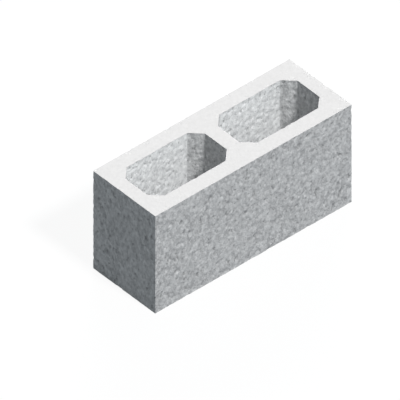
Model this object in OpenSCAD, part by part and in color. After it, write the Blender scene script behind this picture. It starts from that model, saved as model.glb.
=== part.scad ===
// Hollow concrete block for walls laid in mortar. It is one casting: two face
// shells and the webs between them stand round cores that run from bed to bed.
// The cores narrow towards the top, so the top bed is the wider one for mortar.
// Millimetres, +Z up. The origin is the middle of the bottom bed.

/* [Block] */
// Length along the wall
block_l = 390; // [290:10:490]
// Width, the thickness of the wall
block_w = 140; // [115:5:190]
// Height of a course without its mortar joint
block_h = 190; // [90:10:240]

/* [Walls] */
// Thickness of a face shell at the bottom, where it is thinnest
shell_t = 25; // [18:1:35]
// Thickness of a web at the bottom, where it is thinnest
web_t = 22; // [18:1:35]

/* [Cores] */
// Number of cores along the length
core_count = 2; // [1:1:3]
// Leg of the chamfer across each corner of a core, at the bottom
core_chamfer = 20; // [8:1:30]
// Draft: how far each wall of a core leans in from bottom to top
core_draft = 2; // [0.5:0.5:4]

/* [Hidden] */

// How far a core's cutting body runs past both beds
overrun = 5;

// A core's opening at the bottom, and the step from one core to the next
core_l = (block_l - (core_count + 1) * web_t) / core_count;
core_w = block_w - 2 * shell_t;
core_pitch = core_l + web_t;

// From a core's centre square out to the chamfer across its corner
corner_reach = (core_l / 2 + core_w / 2 - core_chamfer) / sqrt(2);
chamfer_turn = 45;

// Distance of a drafted wall from its core's centre, at height z
function wall_at(reach, z) = reach - core_draft * z / block_h;

// The gap between two opposite walls of a core, which both lean in with the draft
module wall_gap(reach) {
    low = -overrun;
    high = block_h + overrun;
    rotate([90, 0, 0])
        linear_extrude(height = block_l + block_w, center = true)
            polygon([
                [-wall_at(reach, low), low],
                [wall_at(reach, low), low],
                [wall_at(reach, high), high],
                [-wall_at(reach, high), high]
            ]);
}

// One core is what four such gaps share: between its webs, between its shells
// and between each pair of opposite corner chamfers
module core() {
    intersection() {
        wall_gap(core_l / 2);
        rotate([0, 0, 90])
            wall_gap(core_w / 2);
        rotate([0, 0, chamfer_turn])
            wall_gap(corner_reach);
        rotate([0, 0, -chamfer_turn])
            wall_gap(corner_reach);
    }
}

module block() {
    color("#abadaf")
        difference() {
            translate([-block_l / 2, -block_w / 2, 0])
                cube([block_l, block_w, block_h]);
            for (i = [0 : core_count - 1])
                translate([(i - (core_count - 1) / 2) * core_pitch, 0, 0])
                    core();
        }
}

block();
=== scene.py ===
import itertools
import math

import bmesh
import bpy
from mathutils import Euler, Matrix, Vector, geometry, noise
from mathutils.kdtree import KDTree


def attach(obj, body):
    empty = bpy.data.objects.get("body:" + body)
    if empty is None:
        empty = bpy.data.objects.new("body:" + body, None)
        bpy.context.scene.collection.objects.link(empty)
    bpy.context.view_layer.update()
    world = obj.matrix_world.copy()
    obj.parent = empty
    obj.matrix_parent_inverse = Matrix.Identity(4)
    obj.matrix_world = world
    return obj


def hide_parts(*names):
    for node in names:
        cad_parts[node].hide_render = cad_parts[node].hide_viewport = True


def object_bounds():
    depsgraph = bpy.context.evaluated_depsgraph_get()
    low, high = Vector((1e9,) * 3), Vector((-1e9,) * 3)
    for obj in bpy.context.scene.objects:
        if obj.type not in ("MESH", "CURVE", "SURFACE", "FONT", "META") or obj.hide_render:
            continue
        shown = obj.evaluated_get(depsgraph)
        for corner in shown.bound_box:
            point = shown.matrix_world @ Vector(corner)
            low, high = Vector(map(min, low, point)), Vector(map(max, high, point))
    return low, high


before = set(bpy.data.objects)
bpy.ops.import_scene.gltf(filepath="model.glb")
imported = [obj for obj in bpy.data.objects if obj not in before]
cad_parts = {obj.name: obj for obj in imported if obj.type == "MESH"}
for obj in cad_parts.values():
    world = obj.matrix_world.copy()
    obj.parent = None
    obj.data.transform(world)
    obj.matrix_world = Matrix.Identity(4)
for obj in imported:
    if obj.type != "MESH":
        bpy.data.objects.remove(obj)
cad_low, cad_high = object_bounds()

# Block
# One casting of dry, vibrated concrete: sand and grit with just enough cement to bind them.
# It is stripped from its steel mould at once, so the walls keep an open grain, small voids and
# faint marks of the lift. The tamper and the pallet press the two beds smooth.
MM = 0.001
weld_reach = 0.01 * MM
flat_angle = math.radians(1)
scene = bpy.context.scene

# The CAD faces come in triangles, and those of each wall are joined into one face.
cad_faces = bmesh.new()
cad_faces.from_mesh(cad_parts["block"].data)
bmesh.ops.remove_doubles(cad_faces, verts=cad_faces.verts, dist=weld_reach)
bmesh.ops.dissolve_limit(cad_faces, angle_limit=flat_angle, verts=cad_faces.verts, edges=cad_faces.edges)

# Each wall gets an even grid from arris to arris, fine enough to hold the grains.
mesh_step = 2.1 * MM
wall_rise = 0.5
half_height = cad_high.z / 2
rows = round(cad_high.z / mesh_step)
layout = bmesh.new()
bottom_rim, top_rim = [], []


def stands(normal):
    """True for the normal of a wall. The cores taper, so theirs aren't quite level."""
    return abs(normal.z) < wall_rise


for wall in cad_faces.faces:
    if not stands(wall.normal):
        continue
    ring = [corner.vert.co for corner in wall.loops if corner.calc_angle() < math.pi - flat_angle]
    while ring[0].z > half_height or ring[1].z > half_height:
        ring.append(ring.pop(0))
    foot, foot_end, head_end, head = ring
    columns = round((foot_end - foot).length / mesh_step)
    grid = []
    for row in range(rows + 1):
        left, right = foot.lerp(head, row / rows), foot_end.lerp(head_end, row / rows)
        spots = [left.lerp(right, column / columns) for column in range(columns + 1)]
        grid.append([layout.verts.new(spot) for spot in spots])
    for lower, upper in zip(grid, grid[1:]):
        for column in range(columns):
            layout.faces.new((lower[column], lower[column + 1], upper[column + 1], upper[column]))
    bottom_rim.append([point.co.copy() for point in grid[0]])
    top_rim.append([point.co.copy() for point in grid[-1]])

# Each bed is nearly flat, so it gets coarser, even triangles between the points of its arrises.
bed_step = 4.2 * MM
closest_to_rim = 0.6 * bed_step
row_step = bed_step * math.sqrt(0.75)
INSIDE_OUTLINE = 1


def on_concrete(spot, rim):
    """True for a spot of a bed with an odd number of sides to its right, so not over a core."""
    to_right = 0
    for start, *_, end in rim:
        if (start.y > spot.y) != (end.y > spot.y):
            crossing = start.lerp(end, (spot.y - start.y) / (end.y - start.y))
            to_right += crossing.x > spot.x
    return to_right % 2 == 1


def nearest_of(places):
    """A tree that finds the nearest of some places."""
    tree = KDTree(len(places))
    for index, place in enumerate(places):
        tree.insert(place, index)
    tree.balance()
    return tree


for rim in (bottom_rim, top_rim):
    bed_height = rim[0][0].z
    outline = [point for side in rim for point in side]
    rim_points = nearest_of(outline)
    filling = []
    for row in range(round((cad_high.y - cad_low.y) / row_step)):
        for step in range(round((cad_high.x - cad_low.x) / bed_step)):
            along = cad_low.x + bed_step * (step + row % 2 / 2)
            spot = Vector((along, cad_low.y + row_step * row, bed_height))
            _, _, to_rim = rim_points.find(spot)
            if to_rim > closest_to_rim and on_concrete(spot, rim):
                filling.append(spot)
    ends = list(itertools.accumulate(len(side) for side in rim))
    edges = [(index, index + 1) for index in range(len(outline)) if index + 1 not in ends]
    flat = [point.to_2d() for point in outline + filling]
    spots, _, triangles, *_ = geometry.delaunay_2d_cdt(flat, edges, [], INSIDE_OUTLINE, weld_reach)
    points = [layout.verts.new((*spot, bed_height)) for spot in spots]
    for triangle in triangles:
        corners = [points[index] for index in triangle]
        if on_concrete(sum((corner.co for corner in corners), Vector()) / 3, rim):
            layout.faces.new(corners)
bmesh.ops.remove_doubles(layout, verts=layout.verts, dist=weld_reach)
bmesh.ops.recalc_face_normals(layout, faces=layout.faces)
layout.normal_update()
arris_angle = math.radians(25)
for face in layout.faces:
    face.smooth = True
for edge in layout.edges:
    edge.smooth = edge.calc_face_angle() < arris_angle

# The relief is cut into the faces, in millimetres, so the casting keeps its outer size. Real grains
# are 1 to 4 mm wide, and these are about twice as coarse, so that the mesh can hold them.
lift_stretch = 1.4
grain_width = 5.5
grain_depth = 1.2
grain_level = 0.15
octaves = 2
octave_fall = 0.3
octave_step = 2.0
lift_mark_width = 5.0
lift_mark_length = 60.0
lift_mark_depth = 0.3
void_spacing = 24.0
void_radius = 3.0
smallest_void = 0.5
void_depth = 1.2
voided_share = 0.5
draw_scale = 7.0
gap_width = 7.4
gap_rim = 0.28
gap_slope = 0.3
gap_depth = 1.2
crumble_width = 17.0
crumble_start = 0.2
crumble_depth = 1.2
arris_share = 0.25
arris_fade = 4.0
pressed_share = 0.1

# A noise is weak on planes that lie along its own grid, so each one is turned away from the faces.
noise_turn = Euler((0.5, 0.3, 0.7))


def in_noise(place, width, stretch=1.0):
    """A place, in the measure of a noise of that width that is stretched upwards."""
    return noise_turn.to_matrix() @ Vector((place.x, place.y, place.z / stretch)) / width


def grain(place):
    """Depth at a place below the grains that touched the mould."""
    level = noise.fractal(in_noise(place, grain_width, lift_stretch), octave_fall, octave_step, octaves)
    return grain_depth * max(0.0, grain_level + level)


def lift_mark(place):
    """Depth of the marks that the mould leaves as it is lifted off."""
    stretch = lift_mark_length / lift_mark_width
    return lift_mark_depth * max(0.0, noise.noise(in_noise(place, lift_mark_width, stretch)))


def void(place):
    """Depth of the air void at a place, where the nearest one is there and wide enough."""
    distances, centres = noise.voronoi(in_noise(place, void_spacing))
    draw = noise.cell(centres[0] * draw_scale)
    if draw > voided_share:
        return 0.0
    reach = void_radius * (smallest_void + draw / voided_share)
    return void_depth * max(0.0, 1.0 - (distances[0] * void_spacing / reach) ** 2)


def gap(place):
    """Depth of the gap between grains at a place, where the paste hasn't filled it."""
    below_rim = -noise.noise(in_noise(place, gap_width, lift_stretch)) - gap_rim
    return gap_depth * min(1.0, max(0.0, below_rim / gap_slope))


def crumble(place):
    """How far an arris has lost its loose grains."""
    looseness = noise.fractal(in_noise(place, crumble_width), octave_fall, octave_step, octaves)
    return crumble_depth * max(0.0, looseness - crumble_start)


# Paste gathers in the corners of the mould, so the arrises are tighter than the faces. The walls of
# the cores are painted paler than the outside, as painted light: palest on the shells and least on the
# webs, which the key light passes by. The mesh hands the material how hollow each point is, for the
# painted shade of the pits, and how much painted light each core wall takes.
shell_middle = 12 * MM
web_painted_light = 0.3
painted_light_fall = 4
hollow = layout.verts.layers.float.new("hollow")
core_wall_painted_light = layout.verts.layers.float.new("core_wall_painted_light")
arrises = [edge for edge in layout.edges if not edge.smooth]
arris_points = nearest_of([point.co / MM for edge in arrises for point in edge.verts])
for point in layout.verts:
    place = point.co / MM
    normals = [face.normal for face in point.link_faces]
    walls = [normal for normal in normals if stands(normal)]
    beds = [normal for normal in normals if not stands(normal)]
    _, _, from_arris = arris_points.find(place)
    arris_part = max(0.0, 1.0 - from_arris / arris_fade)
    openness = 1.0 - (1.0 - arris_share) * arris_part
    worn = crumble(place) * arris_part
    if walls:
        out = sum(walls, Vector())
        out.z = 0.0
        out.normalize()
        from_outside = min(cad_high.x - abs(point.co.x), cad_high.y - abs(point.co.y))
        # Painted light: a core wall is painted paler the more it faces along the width of the block.
        if from_outside > shell_middle:
            point[core_wall_painted_light] = web_painted_light + (1.0 - web_painted_light) * out.y ** painted_light_fall
        hole = openness * max(void(place), gap(place))
        point[hollow] = hole / gap_depth
        depth = openness * (grain(place) + lift_mark(place)) + hole + worn
        point.co -= out / out.dot(walls[0]) * depth * MM
    if beds:
        depth = pressed_share * grain(place) + worn
        point.co -= beds[0] * depth * MM
casting = bpy.data.meshes.new("cast_block")
layout.to_mesh(casting)
layout.free()
cad_faces.free()
cast_block = bpy.data.objects.new("cast_block", casting)
scene.collection.objects.link(cast_block)


def linear(hex_colour):
    """An sRGB hex colour as linear RGBA."""
    channels = [int(hex_colour[i:i + 2], 16) / 255 for i in (1, 3, 5)]
    return [c / 12.92 if c <= 0.04045 else ((c + 0.055) / 1.055) ** 2.4 for c in channels] + [1.0]


def add_node(tree, kind, inputs, **settings):
    """A node of that kind with its settings, and its inputs linked or set."""
    node = tree.nodes.new(kind)
    for name, value in settings.items():
        setattr(node, name, value)
    for socket, value in inputs.items():
        if isinstance(value, bpy.types.NodeSocket):
            tree.links.new(value, node.inputs[socket])
        else:
            node.inputs[socket].default_value = value
    return node


# A mix node takes its colours in sockets 6 and 7, and gives the mixed colour in 2.
MIX_A, MIX_B, MIX_COLOUR = 6, 7, 2

# Vibrated concrete, moulded: a matt, sandy grey with dark and pale grit, and pits between that are
# darkened with painted shade. The walls of the cores are painted paler, as painted light. The cement
# skin of the pressed beds is much more even, and the beds are painted paler, partly for that skin and
# partly as painted light from above. The sand, the grit and the pits are drawn two or three times as
# coarse as the real ones, so that they show in the picture.
outer_dark, outer_pale = linear("#949495"), linear("#cacaca")
# Painted light: the walls of the cores are painted paler than the outer walls.
core_painted_light_dark, core_painted_light_pale = linear("#c5c6c7"), linear("#f3f4f4")
# Partly painted light: the beds are paler for their pressed skin and for the light from above.
bed_skin_and_painted_light_dark, bed_skin_and_painted_light_pale = linear("#d0cecd"), linear("#d8d6d5")
# Painted shade: the colour that darkens the pits.
no_shade, pit_painted_shade = linear("#ffffff"), linear("#d0d0d0")
pit_width = 4.2 * MM
pit_octaves = 2.0
pit_rim = 0.4
pit_floor = 0.28
pit_depth = 0.8 * MM
gap_pitting = 0.15
wall_bump = 0.3
core_bump = 0.15
bed_bump = 0.08
grit_spacing = 7.0 * MM
grit_reach = 0.6
grit_edge = 0.4
sand_width = 5.8 * MM
sand_octaves = 3.0
fine_share = 0.6
sand_middle = 0.5
sand_spread = 0.2
sand_dome_width = 3.6 * MM
sand_dome_octaves = 1.0
sand_dome_power = 2.0
sand_dome_relief = 2.5
blotch_width = 30.0 * MM
blotch_octaves = 2.0
blotch_share = 0.15
skin_depth = 0.8 * MM
concrete_roughness = 0.9
concrete_gloss = 0.25

concrete = bpy.data.materials.new("vibrated_concrete")
concrete.use_nodes = True
tree = concrete.node_tree
tree.nodes.clear()
position = add_node(tree, "ShaderNodeTexCoord", {}).outputs["Object"]
drawn = add_node(tree, "ShaderNodeMapping", {
    "Vector": position, "Scale": (1.0, 1.0, 1.0 / lift_stretch),
    "Rotation": noise_turn}).outputs["Vector"]
grit = add_node(tree, "ShaderNodeTexVoronoi", {"Vector": drawn, "Scale": 1 / grit_spacing}).outputs
grit_draw = add_node(tree, "ShaderNodeSeparateColor", {"Color": grit["Color"]}).outputs
grit_radius = add_node(tree, "ShaderNodeMath", {
    0: grit_draw["Red"], 1: grit_reach}, operation="MULTIPLY").outputs[0]
grit_inside = add_node(tree, "ShaderNodeMath", {
    0: grit_radius, 1: grit["Distance"]}, operation="SUBTRACT").outputs[0]
grit_grain = add_node(tree, "ShaderNodeMapRange", {
    "Value": grit_inside, "From Max": grit_edge}).outputs["Result"]
sand = add_node(tree, "ShaderNodeTexNoise", {
    "Vector": drawn, "Scale": 1 / sand_width, "Detail": sand_octaves,
    "Roughness": fine_share}).outputs["Fac"]
blotch = add_node(tree, "ShaderNodeTexNoise", {
    "Vector": drawn, "Scale": 1 / blotch_width, "Detail": blotch_octaves}).outputs["Fac"]
fines = add_node(tree, "ShaderNodeMix", {"Factor": blotch_share, "A": sand, "B": blotch}).outputs[0]
ground = add_node(tree, "ShaderNodeMapRange", {
    "Value": fines, "From Min": sand_middle - sand_spread,
    "From Max": sand_middle + sand_spread}).outputs["Result"]
tone = add_node(tree, "ShaderNodeMix", {
    "Factor": grit_grain, "A": ground, "B": grit_draw["Green"]}).outputs[0]

outer_colour = add_node(tree, "ShaderNodeMix", {
    "Factor": tone, MIX_A: outer_dark, MIX_B: outer_pale}, data_type="RGBA").outputs[MIX_COLOUR]
core_painted_light_colour = add_node(tree, "ShaderNodeMix", {
    "Factor": tone, MIX_A: core_painted_light_dark, MIX_B: core_painted_light_pale}, data_type="RGBA").outputs[MIX_COLOUR]
bed_skin_and_painted_light_colour = add_node(tree, "ShaderNodeMix", {
    "Factor": tone, MIX_A: bed_skin_and_painted_light_dark, MIX_B: bed_skin_and_painted_light_pale}, data_type="RGBA").outputs[MIX_COLOUR]
# Painted light: how much paler each core wall is painted, by how it faces.
painted_light_in_core = add_node(tree, "ShaderNodeAttribute", {}, attribute_name="core_wall_painted_light").outputs["Fac"]
wall_colour = add_node(tree, "ShaderNodeMix", {
    "Factor": painted_light_in_core, MIX_A: outer_colour, MIX_B: core_painted_light_colour}, data_type="RGBA").outputs[MIX_COLOUR]

# Small pits of no set shape are scattered over the walls, and lie close together in the gaps. They
# are darkened with painted shade, where shadow would fall in them.
pitting = add_node(tree, "ShaderNodeTexNoise", {
    "Vector": drawn, "Scale": 1 / pit_width, "Detail": pit_octaves,
    "Roughness": fine_share}).outputs["Fac"]
in_gap = add_node(tree, "ShaderNodeAttribute", {}, attribute_name="hollow").outputs["Fac"]
opened = add_node(tree, "ShaderNodeMath", {
    0: in_gap, 1: -gap_pitting, 2: pitting}, operation="MULTIPLY_ADD").outputs[0]
pit = add_node(tree, "ShaderNodeMapRange", {
    "Value": opened, "From Min": pit_rim, "From Max": pit_floor}).outputs["Result"]
# Painted shade in the pits: the wall colour is darkened where a pit is.
shade = add_node(tree, "ShaderNodeMix", {
    "Factor": pit, MIX_A: no_shade, MIX_B: pit_painted_shade}, data_type="RGBA").outputs[MIX_COLOUR]
pitted_wall = add_node(tree, "ShaderNodeMix", {
    "Factor": 1.0, MIX_A: wall_colour, MIX_B: shade}, data_type="RGBA",
    blend_type="MULTIPLY").outputs[MIX_COLOUR]

# The skin of a bed ends at its arris. On the walls each grain of sand stands out as a small dome. The
# core moulds are pulled along the walls of the cores and leave them tighter.
height = add_node(tree, "ShaderNodeSeparateXYZ", {"Vector": position}).outputs["Z"]
off_middle = add_node(tree, "ShaderNodeMath", {
    0: height, 1: half_height}, operation="SUBTRACT").outputs[0]
from_middle = add_node(tree, "ShaderNodeMath", {0: off_middle}, operation="ABSOLUTE").outputs[0]
on_bed = add_node(tree, "ShaderNodeMapRange", {
    "Value": from_middle, "From Min": half_height - skin_depth,
    "From Max": half_height - skin_depth / 2}).outputs["Result"]
# The beds take their paler colour, partly for their skin and partly as painted light.
colour = add_node(tree, "ShaderNodeMix", {
    "Factor": on_bed, MIX_A: pitted_wall, MIX_B: bed_skin_and_painted_light_colour}, data_type="RGBA").outputs[MIX_COLOUR]
from_crown = add_node(tree, "ShaderNodeTexVoronoi", {
    "Vector": drawn, "Scale": 1 / sand_dome_width, "Detail": sand_dome_octaves}).outputs["Distance"]
sand_dome_fall = add_node(tree, "ShaderNodeMath", {
    0: from_crown, 1: sand_dome_power}, operation="POWER").outputs[0]
sunken = add_node(tree, "ShaderNodeMath", {
    0: sand_dome_fall, 1: sand_dome_relief, 2: pit}, operation="MULTIPLY_ADD").outputs[0]
bump_height = add_node(tree, "ShaderNodeMath", {0: ground, 1: sunken}, operation="SUBTRACT").outputs[0]
wall_strength = add_node(tree, "ShaderNodeMapRange", {
    "Value": painted_light_in_core, "To Min": wall_bump, "To Max": core_bump}).outputs["Result"]
bump_strength = add_node(tree, "ShaderNodeMix", {
    "Factor": on_bed, "A": wall_strength, "B": bed_bump}).outputs[0]
bump = add_node(tree, "ShaderNodeBump", {
    "Height": bump_height, "Strength": bump_strength, "Distance": pit_depth}).outputs["Normal"]
surface = add_node(tree, "ShaderNodeBsdfPrincipled", {
    "Base Color": colour, "Roughness": concrete_roughness, "Specular IOR Level": concrete_gloss,
    "Normal": bump})
add_node(tree, "ShaderNodeOutputMaterial", {"Surface": surface.outputs["BSDF"]})
casting.materials.append(concrete)
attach(cast_block, "root")
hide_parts("block")

# Floor
# A seamless white studio floor. To the camera it is nearly white by itself and keeps a faint
# shadow, and to the block it is a mid-grey board, so little light comes back up the walls.
floor_half = 10.0
floor_white = linear("#eeeeee")
floor_grey = linear("#9ba0a4")
floor_glow_share = 0.9
floor_corners = [(-floor_half, -floor_half, 0), (floor_half, -floor_half, 0),
                 (floor_half, floor_half, 0), (-floor_half, floor_half, 0)]
floor_mesh = bpy.data.meshes.new("studio_floor")
floor_mesh.from_pydata(floor_corners, [], [(0, 1, 2, 3)])
floor = bpy.data.objects.new("studio_floor", floor_mesh)
scene.collection.objects.link(floor)


def seen_by_camera(tree):
    """A socket that is 1 where the camera looks, straight, in a gloss or through glass."""
    ray = add_node(tree, "ShaderNodeLightPath", {}).outputs
    straight_or_gloss = add_node(tree, "ShaderNodeMath", {
        0: ray["Is Camera Ray"], 1: ray["Is Glossy Ray"]}, operation="MAXIMUM").outputs[0]
    return add_node(tree, "ShaderNodeMath", {
        0: straight_or_gloss, 1: ray["Is Transmission Ray"]}, operation="MAXIMUM").outputs[0]


paper = bpy.data.materials.new("white_paper")
paper.use_nodes = True
tree = paper.node_tree
tree.nodes.clear()
seen = seen_by_camera(tree)
paper_colour = add_node(tree, "ShaderNodeMix", {
    "Factor": seen, MIX_A: floor_grey, MIX_B: floor_white}, data_type="RGBA").outputs[MIX_COLOUR]
lit = add_node(tree, "ShaderNodeBsdfDiffuse", {"Color": paper_colour})
glow = add_node(tree, "ShaderNodeEmission", {"Strength": 1.0})
glow_share = add_node(tree, "ShaderNodeMath", {0: seen, 1: floor_glow_share}, operation="MULTIPLY")
sheet = add_node(tree, "ShaderNodeMixShader", {
    0: glow_share.outputs[0], 1: lit.outputs[0], 2: glow.outputs[0]})
add_node(tree, "ShaderNodeOutputMaterial", {"Surface": sheet.outputs[0]})
floor_mesh.materials.append(paper)

# Light
# A firm key from the front and above leaves both ends in shade, a weak lamp behind the right end
# keeps the far sides readable, and an even, slightly cool dome fills the rest.
lamps = {
    "key": {"azimuth": 3, "elevation": 53, "energy": 3.08, "angle": 8},
    "back": {"azimuth": 135, "elevation": 20, "energy": 1.8, "angle": 30},
}
for name, lamp in lamps.items():
    azimuth, elevation = math.radians(lamp["azimuth"]), math.radians(lamp["elevation"])
    light = bpy.data.lights.new(name, "SUN")
    light.energy = lamp["energy"]
    light.angle = math.radians(lamp["angle"])
    holder = bpy.data.objects.new(name, light)
    scene.collection.objects.link(holder)
    to_lamp = Vector((math.sin(azimuth) * math.cos(elevation),
                      -math.cos(azimuth) * math.cos(elevation), math.sin(elevation)))
    holder.rotation_euler = to_lamp.to_track_quat("Z", "Y").to_euler()

dome_level = 0.32
dome_colour = linear("#f1faff")
seen_colour = linear("#ffffff")
world = bpy.data.worlds.new("studio_dome")
scene.world = world
world.use_nodes = True
tree = world.node_tree
tree.nodes.clear()
seen = seen_by_camera(tree)
dome = add_node(tree, "ShaderNodeBackground", {"Color": dome_colour, "Strength": dome_level})
white = add_node(tree, "ShaderNodeBackground", {"Color": seen_colour, "Strength": 1.0})
sky = add_node(tree, "ShaderNodeMixShader", {0: seen, 1: dome.outputs[0], 2: white.outputs[0]})
add_node(tree, "ShaderNodeOutputWorld", {"Surface": sky.outputs[0]})
scene.view_settings.view_transform = "Standard"

# Camera
# A parallel view from above the left end of the block, which stands to the right of the middle.
picture_pixels = 400
picture_width = 596 * MM
view_azimuth = math.radians(-41.4)
view_elevation = math.radians(40.2)
block_centre_pixel = (222.4, 186.4)
camera_distance = 3.0
lens = bpy.data.cameras.new("view")
lens.type = "ORTHO"
lens.ortho_scale = picture_width
camera = bpy.data.objects.new("view", lens)
scene.collection.objects.link(camera)
back = Vector((math.sin(view_azimuth) * math.cos(view_elevation),
               -math.cos(view_azimuth) * math.cos(view_elevation), math.sin(view_elevation)))
turn = (-back).to_track_quat("-Z", "Y")
pixel = picture_width / picture_pixels
right_of_middle = (block_centre_pixel[0] - picture_pixels / 2) * pixel
above_middle = (picture_pixels / 2 - block_centre_pixel[1]) * pixel
aim = (cad_low + cad_high) / 2 - turn @ Vector((right_of_middle, above_middle, 0))
camera.location = aim + back * camera_distance
camera.rotation_euler = turn.to_euler()
scene.camera = camera
